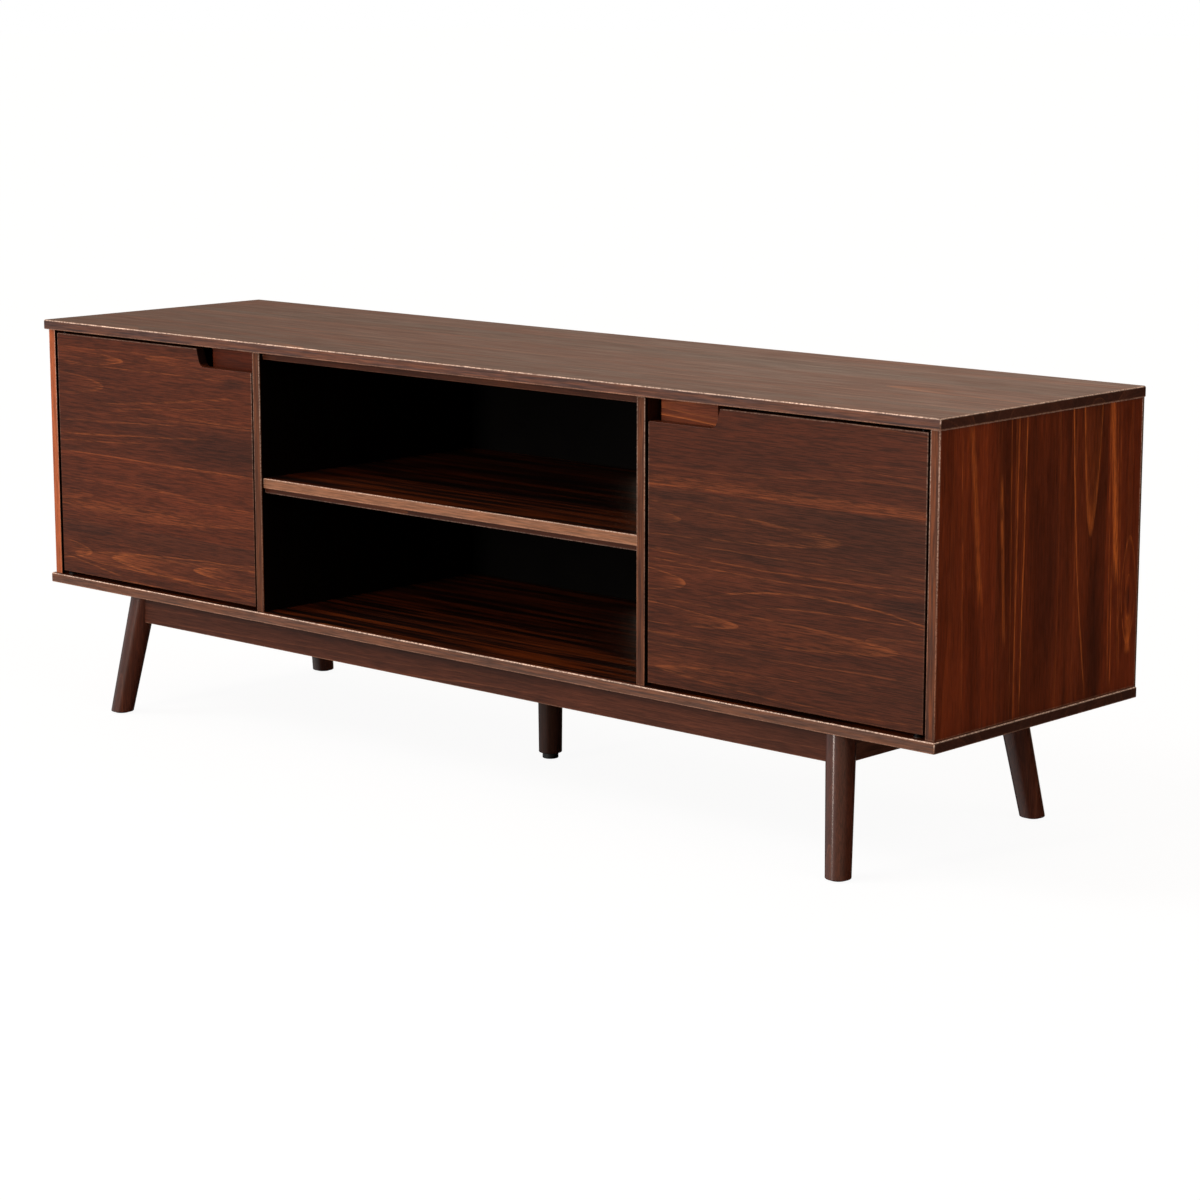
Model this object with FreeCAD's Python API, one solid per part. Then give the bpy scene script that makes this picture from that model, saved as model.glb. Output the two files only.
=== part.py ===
"""Low console television cabinet on splayed round legs.

Three bays between a top and a bottom board: an open centre bay with a fixed
shelf, and a bay with an inset pivot-hung door at each end.  Millimetres, +Z up,
+X to the right, the front faces -Y.  The origin is on the floor, in the middle.
"""
import FreeCAD, Part
import math
import os
from FreeCAD import Vector

# ---- driving dimensions -------------------------------------------------
WIDTH = 1778.0            # top and bottom boards, left to right
DEPTH = 457.0             # top and bottom boards, front to back
HEIGHT = 619.0            # floor to the top face
UNDERSIDE = 194.0         # floor to the underside of the bottom board
BOARD = 15.0              # thickness of every carcass board and door
SIDE_INSET = 5.0          # top board's overhang past the side panels
FRONT_INSET = 6.5         # top board's overhang past the fronts of the uprights
CENTRE_BAY = 760.0        # clear width between the dividers
TOP_CORNER = 3.0          # plan radius of the top and bottom boards' corners
TOP_EASE = 2.5            # rounding of the long edges that show
SMALL_EASE = 1.0          # rounding of the other edges
OVERCUT = 1.0             # how far a cutter passes the face it cuts

BACK_THICK = 3.0
BACK_JOINT = 0.3          # half the joint between two back panels
BACK_TRIM = 2.0           # back panels short of the top face and of the underside
CABLE_HOLE_R = 22.5
CABLE_HOLE_UP = 62.0      # height of a cable hole's centre above the surface under it

SHELF_RECESS = 5.0        # centre shelf's front behind the dividers' fronts
BATTEN_RECESS = 8.0       # front battens behind the dividers' fronts
BATTEN_DEPTH = 18.0
SHELF_BATTEN_DROP = 8.0
TOP_BATTEN_DROP = 11.0

DOOR_RECESS = 1.5         # door's face behind the fronts of the uprights
DOOR_GAP_HINGE = 4.2
DOOR_GAP_FREE = 4.5
DOOR_GAP_TOP = 5.0
DOOR_GAP_BOTTOM = 5.0
NOTCH_DROP = 27.5         # finger notch, down from the door's top edge
NOTCH_TOP_RUN = 125.5     # its length along the top edge
NOTCH_LOW_RUN = 117.5     # its length at the bottom, before rounding
NOTCH_CORNER = 12.0

PIVOT_IN = 12.0           # pivot axis inside the door's outer edge
PIVOT_PIN_R = 3.0
PIVOT_PLAY = 0.05         # radial running clearance of pin in bush
PIVOT_DEEP = 25.0         # pin inside the door
PIVOT_SHORT = 1.0         # pin's end short of the bush's inner end
COLLAR_R = 6.0
BUSH_R = 5.0
BUSH_DEEP = 10.0
BUSH_FLANGE_R = 7.0
BUSH_FLANGE = 1.2
THRUST_PLAY = 0.1

BLOCK_START = 407.0       # stop block's near end, from the middle of the cabinet
BLOCK_LENGTH = 100.0
BLOCK_DROP = 54.0
BLOCK_DEPTH = 18.0
STOP_GAP = 2.5            # door's back to the block's face
BUMPER_R = 5.0
BUMPER_IN = 13.0          # pads' centres inside the block's ends
CONTACT_GAP = 0.3         # a closed door's back to the pads that stop it
CATCH_Z = 560.0           # height of the magnetic catch and the pads
MAGNET_R = 5.0
MAGNET_DEEP = 6.0
STRIKE_R = 7.0
STRIKE_THICK = 1.5
STRIKE_SCREW_LONG = 10.0

INNER_SHELF_FRONT = 47.0  # inner shelf's front behind the fronts of the uprights
INNER_SHELF_SIDE = 2.0
INNER_SHELF_BACK = 4.0
PIN_R = 2.5
PIN_IN = 8.0
PIN_OUT = 8.0
PIN_HOLE_DEEP = 9.0
PIN_ROWS = (-2, -1, 0, 1, 2)
PIN_PITCH = 32.0
PIN_COLUMNS = (-120.0, 170.0)

FOOT_X, FOOT_Y = 730.5, 218.0     # leg axis where it meets the floor
HEAD_X, HEAD_Y = 706.0, 184.5     # leg axis at the underside of the bottom board
LEG_FOOT_R, LEG_HEAD_R = 17.5, 20.5
LEG_OVERRUN = 30.0                # extra cone length trimmed flat at both ends
LEG_FOOT_EASE = 1.2
GLIDE_R = 11.0
GLIDE_THICK = 2.0

RAIL_THICK = 18.0
RAIL_DROP = 47.0
TENON_THICK = 10.0
TENON_SHORT = 8.0         # tenon's end to the leg's axis
TENON_ROOT = 26.0         # tenon's start, from the leg's axis
TENON_SHOULDER = 8.0      # above and below the tenon
BLOCK_OUTER, BLOCK_INNER = 62.0, 30.0   # corner block's legs along the rails
BLOCK_TALL = 25.0

STRETCHER_WIDE = 44.0
STRETCHER_TALL = 25.0
MID_LEG_Y = 8.7
MID_LEG_FOOT_Z = 13.0
MID_LEG_FOOT_R, MID_LEG_HEAD_R = 17.4, 19.0
PLATE_SIDE = 40.0
PLATE_THICK = 2.5
PLATE_SCREW_IN = 6.0      # screws' centres inside the plate's edges
PLATE_SCREW_UP = 14.0     # screws' reach into the stretcher
PLATE_SCREW_HEAD_R = 3.6
PLATE_SCREW_HEAD = 2.0
MID_BOLT_R = 4.0
MID_BOLT_DOWN = 30.0      # bolt's reach into the leg
MID_BOLT_SHORT = 5.0      # stretcher left whole above the bolt
INSERT_R = 6.0
INSERT_LONG = 13.0
STUD_R = 3.95
STUD_BORE_R = 4.0
STUD_CLEARANCE_R = 5.0    # hole in the leg above the insert
STUD_TOP_Z = 40.0
STUD_HOLE_TOP_Z = 48.0
LEVELLER_R = 12.0
LEVELLER_Z = 4.0          # underside of the foot above the floor as it stands
LEVELLER_TALL = 8.0

DOWEL_R = 4.0
DOWEL_LONG = 20.0         # in the end grain
DOWEL_SHORT = 10.0        # in the face
JOINT_STATIONS = (-150.0, 0.0, 150.0)
CARCASS_SCREW_R = 3.0
CARCASS_SCREW_HEAD_R = 5.0
CARCASS_SCREW_UP = 35.0
SMALL_SCREW_R = 2.0
SMALL_SCREW_HEAD_R = 4.0
SCREW_HEAD = 3.0
BASE_COUNTERBORE = 29.0
BASE_COUNTERBORE_R = 4.5
RAIL_SCREW_X = (-560.0, -280.0, 280.0, 560.0)
SIDE_RAIL_SCREW_Y = (-90.0, 90.0)
PANEL_BITE = 11.0         # wood screw's hold in the bottom board
BACK_SCREW_R = 1.25
BACK_SCREW_HEAD_R = 2.6
BACK_SCREW_HEAD = 1.2
BACK_SCREW_IN = 14.0
BACK_SCREW_ROWS = 5
BACK_SCREW_END = 25.0
BACK_SCREW_CENTRE_X = (-250.0, 0.0, 250.0)      # along the top and bottom boards
BACK_SCREW_SIDE_X = (553.0, 718.0)
SOCKET_R = 2.3            # hexagon socket of a carcass screw, to its corners
SOCKET_DEEP = 2.6
CROSS_HALF = 1.5          # cross recess of the small screws
CROSS_SLOT = 0.4
CROSS_DEEP = 1.0

# ---- derived positions --------------------------------------------------
FLOOR_OF_BAYS = UNDERSIDE + BOARD
UNDER_TOP = HEIGHT - BOARD
SIDE_OUT = WIDTH / 2 - SIDE_INSET
SIDE_IN = SIDE_OUT - BOARD
DIVIDER_IN = CENTRE_BAY / 2
DIVIDER_OUT = DIVIDER_IN + BOARD
SIDE_MID = SIDE_OUT - BOARD / 2
DIVIDER_MID = DIVIDER_IN + BOARD / 2
FRONT = -DEPTH / 2 + FRONT_INSET
BACK = DEPTH / 2
SHELF_TOP = (FLOOR_OF_BAYS + UNDER_TOP + BOARD) / 2
SHELF_LOW = SHELF_TOP - BOARD

DOOR_FRONT = FRONT + DOOR_RECESS
DOOR_BACK = DOOR_FRONT + BOARD
DOOR_LOW = FLOOR_OF_BAYS + DOOR_GAP_BOTTOM
DOOR_TOP = UNDER_TOP - DOOR_GAP_TOP
DOOR_FREE = DIVIDER_OUT + DOOR_GAP_FREE
DOOR_HINGE = SIDE_IN - DOOR_GAP_HINGE
PIVOT_X = DOOR_HINGE - PIVOT_IN
PIVOT_Y = DOOR_FRONT + BOARD / 2
BLOCK_FACE = DOOR_BACK + STOP_GAP
BLOCK_END = BLOCK_START + BLOCK_LENGTH
CATCH_X = (BLOCK_START + BLOCK_END) / 2
BUMPER_XS = (BLOCK_START + BUMPER_IN, BLOCK_END - BUMPER_IN)

RAIL_LOW = UNDERSIDE - RAIL_DROP
RAIL_MID = UNDERSIDE - RAIL_DROP / 2
RISE = RAIL_MID / UNDERSIDE
RAIL_X = FOOT_X + (HEAD_X - FOOT_X) * RISE      # leg axis at the rails' mid height
RAIL_Y = FOOT_Y + (HEAD_Y - FOOT_Y) * RISE
RAIL_INNER_X = RAIL_X - RAIL_THICK / 2
RAIL_INNER_Y = RAIL_Y - RAIL_THICK / 2
STRETCHER_LOW = UNDERSIDE - STRETCHER_TALL
MID_LEG_TOP = STRETCHER_LOW - PLATE_THICK


# ---- helpers ------------------------------------------------------------
def box(x0, x1, y0, y1, z0, z1):
    """A block between two corners."""
    return Part.makeBox(x1 - x0, y1 - y0, z1 - z0, Vector(x0, y0, z0))


def rod(x, y, z0, z1, radius):
    """An upright cylinder."""
    return Part.makeCylinder(radius, z1 - z0, Vector(x, y, z0))


def rod_x(x0, x1, y, z, radius):
    """A cylinder along X."""
    return Part.makeCylinder(radius, x1 - x0, Vector(x0, y, z), Vector(1, 0, 0))


def rod_y(x, y0, y1, z, radius):
    """A cylinder along Y."""
    return Part.makeCylinder(radius, y1 - y0, Vector(x, y0, z), Vector(0, 1, 0))


def mirrored(shape):
    """The same piece on the other side of the cabinet."""
    return shape.mirror(Vector(0, 0, 0), Vector(1, 0, 0))


def eased(shape, radius, wanted):
    """Round the edges whose bounding box passes the test."""
    edges = [edge for edge in shape.Edges if wanted(edge.BoundBox)]
    return shape.makeFillet(radius, edges)


def runs_along(axis):
    """Test for edges that run only along one axis."""
    def test(bound):
        lengths = {"x": bound.XLength, "y": bound.YLength, "z": bound.ZLength}
        others = [length for name, length in lengths.items() if name != axis]
        return lengths[axis] > 1.0 and max(others) < 0.01
    return test


def lies_at_z(height):
    """Test for edges in one level plane."""
    return lambda bound: bound.ZLength < 0.01 and abs(bound.ZMin - height) < 0.01


def lies_at_y(place):
    """Test for edges in one plane that faces the front."""
    return lambda bound: bound.YLength < 0.01 and abs(bound.YMin - place) < 0.01


def all_of(*tests):
    """Test for edges that pass every one of the tests."""
    return lambda bound: all(test(bound) for test in tests)


def prism(corners, travel):
    """A flat outline carried along a vector."""
    return Part.Face(Part.makePolygon(corners + corners[:1])).extrude(travel)


def cross_below(x, y, z):
    """Cutter for a cross recess in a screw head that faces down at z."""
    half, slot, deep = CROSS_HALF, CROSS_SLOT, CROSS_DEEP
    return [
        box(x - half, x + half, y - slot, y + slot, z - OVERCUT, z + deep),
        box(x - slot, x + slot, y - half, y + half, z - OVERCUT, z + deep),
    ]


def cross_behind(x, y, z):
    """Cutter for a cross recess in a screw head that faces the back at y."""
    half, slot, deep = CROSS_HALF, CROSS_SLOT, CROSS_DEEP
    return [
        box(x - half, x + half, y - deep, y + OVERCUT, z - slot, z + slot),
        box(x - slot, x + slot, y - deep, y + OVERCUT, z - half, z + half),
    ]


def export(name, *shapes):
    """Write one node; a group of loose solids goes in as one compound."""
    piece = shapes[0] if len(shapes) == 1 else Part.makeCompound(list(shapes))
    for solid in piece.Solids:
        assert solid.isValid() and solid.Volume > 0, name
    piece.exportStep("parts/" + name + ".step")


# ---- carcass ------------------------------------------------------------
def wide_board(low):
    """Top or bottom board: rounded corners, eased all round."""
    board = box(-WIDTH / 2, WIDTH / 2, -DEPTH / 2, DEPTH / 2, low, low + BOARD)
    board = eased(board, TOP_CORNER, runs_along("z"))
    board = eased(board, TOP_EASE, lies_at_z(low + BOARD))
    return eased(board, TOP_EASE / 2, lies_at_z(low))


def upright_stations():
    """Plan positions where the uprights are joined to the two wide boards."""
    middles = (-SIDE_MID, -DIVIDER_MID, DIVIDER_MID, SIDE_MID)
    return [(x, y) for x in middles for y in JOINT_STATIONS]


def top_dowels():
    """Dowels between the uprights and the top board."""
    low, high = UNDER_TOP - DOWEL_LONG, UNDER_TOP + DOWEL_SHORT
    return [rod(x, y, low, high, DOWEL_R) for x, y in upright_stations()]


def countersunk(x, y, low, high, shank_r, head_r, head_tall):
    """Screw pointing up with a flat countersunk head at its lower end."""
    head = Part.makeCone(head_r, shank_r, head_tall, Vector(x, y, low))
    return rod(x, y, low, high, shank_r).fuse(head).removeSplitter()


def hex_socket(x, y, low):
    """Cutter for a hexagon socket that opens downwards at low."""
    angles = [math.radians(60 * step) for step in range(6)]
    corners = [
        Vector(x + SOCKET_R * math.cos(angle), y + SOCKET_R * math.sin(angle), low - OVERCUT)
        for angle in angles
    ]
    return prism(corners, Vector(0, 0, SOCKET_DEEP + OVERCUT))


def carcass_screws():
    """Connector screws, up through the bottom board, before their sockets are cut."""
    high = FLOOR_OF_BAYS + CARCASS_SCREW_UP
    return [
        countersunk(x, y, UNDERSIDE, high, CARCASS_SCREW_R, CARCASS_SCREW_HEAD_R, SCREW_HEAD)
        for x, y in upright_stations()
    ]


def pin_holes(face_x, into):
    """Rows of shelf-pin holes in one inner face; into is +1 or -1 along X."""
    far = face_x + into * PIN_HOLE_DEEP
    low, high = min(face_x, far), max(face_x, far)
    middle = SHELF_LOW - PIN_R
    return [rod_x(low, high, y, middle + row * PIN_PITCH, PIN_R) for y in PIN_COLUMNS for row in PIN_ROWS]


def upright(inner, outer, cutters):
    """A side panel or divider on the right-hand side."""
    board = box(inner, outer, FRONT, BACK, FLOOR_OF_BAYS, UNDER_TOP)
    return eased(board, SMALL_EASE, all_of(runs_along("z"), lies_at_y(FRONT))).cut(cutters)


def shelf_dowels():
    """Dowels between the centre shelf's ends and the dividers."""
    dowels = []
    middle = SHELF_TOP - BOARD / 2
    for y in JOINT_STATIONS:
        right = rod_x(DIVIDER_IN - DOWEL_LONG, DIVIDER_IN + DOWEL_SHORT, y, middle, DOWEL_R)
        dowels += [right, mirrored(right)]
    return dowels


def centre_shelf(cutters):
    """Fixed shelf across the centre bay."""
    shelf = box(-DIVIDER_IN, DIVIDER_IN, FRONT + SHELF_RECESS, BACK, SHELF_LOW, SHELF_TOP)
    front_top = all_of(lies_at_z(SHELF_TOP), lies_at_y(FRONT + SHELF_RECESS))
    return eased(shelf, TOP_EASE, front_top).cut(cutters)


def batten(top, drop):
    """Stiffening batten across the centre bay, just behind the fronts."""
    front = FRONT + BATTEN_RECESS
    strip = box(-DIVIDER_IN, DIVIDER_IN, front, front + BATTEN_DEPTH, top - drop, top)
    return eased(strip, SMALL_EASE, all_of(lies_at_z(top - drop), lies_at_y(front)))


# ---- back ---------------------------------------------------------------
def cable_hole(x, z):
    """Round cable outlet through a back panel."""
    return rod_y(x, BACK - OVERCUT, BACK + BACK_THICK + OVERCUT, z, CABLE_HOLE_R)


def back_screw(x, z):
    """Small pan-head screw through a back panel into a board's rear edge."""
    face = BACK + BACK_THICK
    shank = rod_y(x, BACK - BACK_SCREW_IN, face, z, BACK_SCREW_R)
    head = rod_y(x, face, face + BACK_SCREW_HEAD, z, BACK_SCREW_HEAD_R)
    return shank.fuse(head).removeSplitter().cut(cross_behind(x, face + BACK_SCREW_HEAD, z))


def screw_column(x):
    """A column of back-panel screws."""
    low, high = FLOOR_OF_BAYS + BACK_SCREW_END, UNDER_TOP - BACK_SCREW_END
    step = (high - low) / (BACK_SCREW_ROWS - 1)
    return [back_screw(x, low + step * row) for row in range(BACK_SCREW_ROWS)]


def screw_rows(places):
    """Back-panel screws into the bottom and the top board at some places along X."""
    return [back_screw(x, low + BOARD / 2) for low in (UNDERSIDE, UNDER_TOP) for x in places]


def back_panel(x0, x1, holes, screws):
    """One black hardboard back panel."""
    sheet = box(x0, x1, BACK, BACK + BACK_THICK, UNDERSIDE + BACK_TRIM, HEIGHT - BACK_TRIM)
    return sheet.cut([cable_hole(x, z) for x, z in holes] + screws)


# ---- doors --------------------------------------------------------------
def door_blank():
    """Right-hand door: a board with the finger notch at its upper free corner."""
    notch_z = DOOR_TOP - NOTCH_DROP
    outline = [
        (DOOR_FREE, DOOR_LOW),
        (DOOR_HINGE, DOOR_LOW),
        (DOOR_HINGE, DOOR_TOP),
        (DOOR_FREE + NOTCH_TOP_RUN, DOOR_TOP),
        (DOOR_FREE + NOTCH_LOW_RUN, notch_z),
        (DOOR_FREE, notch_z),
    ]
    slab = prism([Vector(x, DOOR_FRONT, z) for x, z in outline], Vector(0, BOARD, 0))

    def at_corner(x, z):
        def near(bound):
            return math.hypot(bound.XMin - x, bound.ZMin - z) < 0.5
        return all_of(runs_along("y"), near)

    slab = eased(slab, NOTCH_CORNER, at_corner(*outline[4]))
    for corner in (outline[3], outline[5]):
        slab = eased(slab, 2 * SMALL_EASE, at_corner(*corner))
    return eased(slab, SMALL_EASE, lies_at_y(DOOR_FRONT))


def pivot_pins():
    """Lower pin with its thrust collar, and upper pin, on the right-hand door."""
    foot, head = FLOOR_OF_BAYS - BUSH_DEEP + PIVOT_SHORT, UNDER_TOP + BUSH_DEEP - PIVOT_SHORT
    lower = rod(PIVOT_X, PIVOT_Y, foot, DOOR_LOW + PIVOT_DEEP, PIVOT_PIN_R)
    collar = rod(PIVOT_X, PIVOT_Y, FLOOR_OF_BAYS + BUSH_FLANGE + THRUST_PLAY, DOOR_LOW, COLLAR_R)
    upper = rod(PIVOT_X, PIVOT_Y, DOOR_TOP - PIVOT_DEEP, head, PIVOT_PIN_R)
    return [lower.fuse(collar).removeSplitter(), upper]


def lower_bush():
    """Flanged bush let into the bottom board."""
    sleeve = rod(PIVOT_X, PIVOT_Y, FLOOR_OF_BAYS - BUSH_DEEP, FLOOR_OF_BAYS + BUSH_FLANGE, BUSH_R)
    flange = rod(PIVOT_X, PIVOT_Y, FLOOR_OF_BAYS, FLOOR_OF_BAYS + BUSH_FLANGE, BUSH_FLANGE_R)
    bore = rod(PIVOT_X, PIVOT_Y, UNDERSIDE, UNDER_TOP, PIVOT_PIN_R + PIVOT_PLAY)
    return sleeve.fuse(flange).removeSplitter().cut(bore)


def upper_bush():
    """Plain bush let into the underside of the top board."""
    sleeve = rod(PIVOT_X, PIVOT_Y, UNDER_TOP, UNDER_TOP + BUSH_DEEP, BUSH_R)
    return sleeve.cut(rod(PIVOT_X, PIVOT_Y, UNDER_TOP - OVERCUT, HEIGHT, PIVOT_PIN_R + PIVOT_PLAY))


def strike():
    """Steel strike disc let flush into the door's back, with its screw."""
    disc = rod_y(CATCH_X, DOOR_BACK - STRIKE_THICK, DOOR_BACK, CATCH_Z, STRIKE_R)
    screw = rod_y(CATCH_X, DOOR_BACK - STRIKE_SCREW_LONG, DOOR_BACK, CATCH_Z, SMALL_SCREW_R)
    return disc.cut(screw), screw


def magnet():
    """Round catch magnet in the stop block; it stands proud to meet the strike."""
    return rod_y(CATCH_X, DOOR_BACK + CONTACT_GAP, BLOCK_FACE + MAGNET_DEEP, CATCH_Z, MAGNET_R)


def bumpers():
    """Soft pads on the stop block."""
    return [rod_y(x, DOOR_BACK + CONTACT_GAP, BLOCK_FACE, CATCH_Z, BUMPER_R) for x in BUMPER_XS]


def stop_block():
    """Door-stop block under the top board, behind the finger notch."""
    y0, y1 = BLOCK_FACE, BLOCK_FACE + BLOCK_DEPTH
    block = box(BLOCK_START, BLOCK_END, y0, y1, UNDER_TOP - BLOCK_DROP, UNDER_TOP)
    return eased(block, SMALL_EASE, runs_along("z")).cut(magnet())


# ---- inner shelves ------------------------------------------------------
def inner_shelf():
    """Adjustable shelf behind the right-hand door."""
    front = FRONT + INNER_SHELF_FRONT
    x0, x1 = DIVIDER_OUT + INNER_SHELF_SIDE, SIDE_IN - INNER_SHELF_SIDE
    shelf = box(x0, x1, front, BACK - INNER_SHELF_BACK, SHELF_LOW, SHELF_TOP)
    return eased(shelf, SMALL_EASE, lies_at_y(front))


def shelf_pins():
    """Four steel pins under the right-hand inner shelf."""
    middle = SHELF_LOW - PIN_R
    pins = []
    for y in PIN_COLUMNS:
        pins.append(rod_x(DIVIDER_OUT - PIN_IN, DIVIDER_OUT + PIN_OUT, y, middle, PIN_R))
        pins.append(rod_x(SIDE_IN - PIN_OUT, SIDE_IN + PIN_IN, y, middle, PIN_R))
    return pins


# ---- base ---------------------------------------------------------------
def leg_cone(side, end):
    """Splayed tapered leg before it is mortised; side and end are +1 or -1."""
    foot = Vector(side * FOOT_X, end * FOOT_Y, 0)
    head = Vector(side * HEAD_X, end * HEAD_Y, UNDERSIDE)
    axis = head.sub(foot)
    length = axis.Length
    axis.normalize()
    taper = (LEG_HEAD_R - LEG_FOOT_R) / length
    start = foot.sub(Vector(axis).multiply(LEG_OVERRUN))
    start_r = LEG_FOOT_R - taper * LEG_OVERRUN
    end_r = LEG_HEAD_R + taper * LEG_OVERRUN
    cone = Part.makeCone(start_r, end_r, length + 2 * LEG_OVERRUN, start, axis)
    slab = box(-WIDTH, WIDTH, -DEPTH, DEPTH, GLIDE_THICK, UNDERSIDE)
    return eased(cone.common(slab), LEG_FOOT_EASE, lies_at_z(GLIDE_THICK))


def long_tenon(side, end):
    """Tenon of a front or back rail in one leg."""
    x0, x1 = RAIL_X - TENON_ROOT, RAIL_X - TENON_SHORT
    low, high = min(side * x0, side * x1), max(side * x0, side * x1)
    y = end * RAIL_Y
    half = TENON_THICK / 2
    return box(low, high, y - half, y + half, RAIL_LOW + TENON_SHOULDER, UNDERSIDE - TENON_SHOULDER)


def side_tenon(side, end):
    """Tenon of a side rail in one leg."""
    y0, y1 = RAIL_Y - TENON_ROOT, RAIL_Y - TENON_SHORT
    low, high = min(end * y0, end * y1), max(end * y0, end * y1)
    x = side * RAIL_X
    half = TENON_THICK / 2
    return box(x - half, x + half, low, high, RAIL_LOW + TENON_SHOULDER, UNDERSIDE - TENON_SHOULDER)


def base_screw(x, y, head_z):
    """Wood screw up into the bottom board, its head's underside at head_z."""
    shank = rod(x, y, head_z, UNDERSIDE + PANEL_BITE, SMALL_SCREW_R)
    head = rod(x, y, head_z - SCREW_HEAD, head_z, SMALL_SCREW_HEAD_R)
    return shank.fuse(head).removeSplitter().cut(cross_below(x, y, head_z - SCREW_HEAD))


def rail_screws():
    """Counterbored screws that hold the rails, as (x, y) with their solids."""
    places = [(x, end * RAIL_Y) for x in RAIL_SCREW_X for end in (-1, 1)]
    places += [(side * RAIL_X, y) for side in (-1, 1) for y in SIDE_RAIL_SCREW_Y]
    return places, [base_screw(x, y, RAIL_LOW + BASE_COUNTERBORE) for x, y in places]


def counterbores(places):
    """Clearance holes for the rail screws' heads."""
    high = RAIL_LOW + BASE_COUNTERBORE
    return [rod(x, y, RAIL_LOW - OVERCUT, high, BASE_COUNTERBORE_R) for x, y in places]


def long_rail(end, cones, cutters):
    """Front or back apron rail, coped and tenoned into its two legs."""
    y = end * RAIL_Y
    rail = box(-RAIL_X, RAIL_X, y - RAIL_THICK / 2, y + RAIL_THICK / 2, RAIL_LOW, UNDERSIDE)
    rail = eased(rail, TOP_EASE, all_of(lies_at_z(RAIL_LOW), runs_along("x"))).cut(cones)
    for side in (-1, 1):
        rail = rail.fuse(long_tenon(side, end))
    return rail.removeSplitter().cut(cutters)


def side_rail(side, cones, cutters):
    """Side apron rail, coped and tenoned into its two legs."""
    x = side * RAIL_X
    rail = box(x - RAIL_THICK / 2, x + RAIL_THICK / 2, -RAIL_Y, RAIL_Y, RAIL_LOW, UNDERSIDE)
    rail = eased(rail, TOP_EASE, all_of(lies_at_z(RAIL_LOW), runs_along("y"))).cut(cones)
    for end in (-1, 1):
        rail = rail.fuse(side_tenon(side, end))
    return rail.removeSplitter().cut(cutters)


def corner_block(side, end):
    """Diagonal glue block inside one corner of the rails."""
    plan = [
        (RAIL_INNER_X - BLOCK_OUTER, RAIL_INNER_Y),
        (RAIL_INNER_X - BLOCK_INNER, RAIL_INNER_Y),
        (RAIL_INNER_X, RAIL_INNER_Y - BLOCK_INNER),
        (RAIL_INNER_X, RAIL_INNER_Y - BLOCK_OUTER),
    ]
    corners = [Vector(side * x, end * y, UNDERSIDE - BLOCK_TALL) for x, y in plan]
    return prism(corners, Vector(0, 0, BLOCK_TALL))


def block_screws():
    """Two screws up through each corner block."""
    middle = (BLOCK_OUTER + BLOCK_INNER) / 4
    shift = BLOCK_INNER / 3
    screws = []
    for side in (-1, 1):
        for end in (-1, 1):
            for slide in (-shift, shift):
                x = RAIL_INNER_X - middle + slide
                y = RAIL_INNER_Y - middle - slide
                screws.append(base_screw(side * x, end * y, UNDERSIDE - BLOCK_TALL))
    return screws


def mid_leg():
    """Upright tapered leg under the middle of the cabinet."""
    tall = MID_LEG_TOP - MID_LEG_FOOT_Z
    leg = Part.makeCone(MID_LEG_FOOT_R, MID_LEG_HEAD_R, tall, Vector(0, MID_LEG_Y, MID_LEG_FOOT_Z))
    leg = eased(leg, LEG_FOOT_EASE, lies_at_z(MID_LEG_FOOT_Z))
    socket = rod(0, MID_LEG_Y, MID_LEG_FOOT_Z - OVERCUT, MID_LEG_FOOT_Z + INSERT_LONG, INSERT_R)
    clearance = rod(0, MID_LEG_Y, MID_LEG_FOOT_Z, STUD_HOLE_TOP_Z, STUD_CLEARANCE_R)
    return leg.cut([socket, clearance, mid_leg_bolt()])


def mid_leg_bolt():
    """Hanger bolt from the centre leg up into the stretcher."""
    return rod(0, MID_LEG_Y, MID_LEG_TOP - MID_BOLT_DOWN, UNDERSIDE - MID_BOLT_SHORT, MID_BOLT_R)


def plate_screws():
    """Four screws that hold the centre leg's plate under the stretcher."""
    reach = PLATE_SIDE / 2 - PLATE_SCREW_IN
    high = STRETCHER_LOW + PLATE_SCREW_UP
    return [
        countersunk(x, y, MID_LEG_TOP, high, SMALL_SCREW_R, PLATE_SCREW_HEAD_R, PLATE_SCREW_HEAD)
        for x in (-reach, reach)
        for y in (MID_LEG_Y - reach, MID_LEG_Y + reach)
    ]


def leveller():
    """Levelling foot as a low round pad."""
    pad = rod(0, MID_LEG_Y, LEVELLER_Z, LEVELLER_Z + LEVELLER_TALL, LEVELLER_R)
    return eased(pad, SMALL_EASE, lambda bound: bound.ZLength < 0.01)


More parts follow.
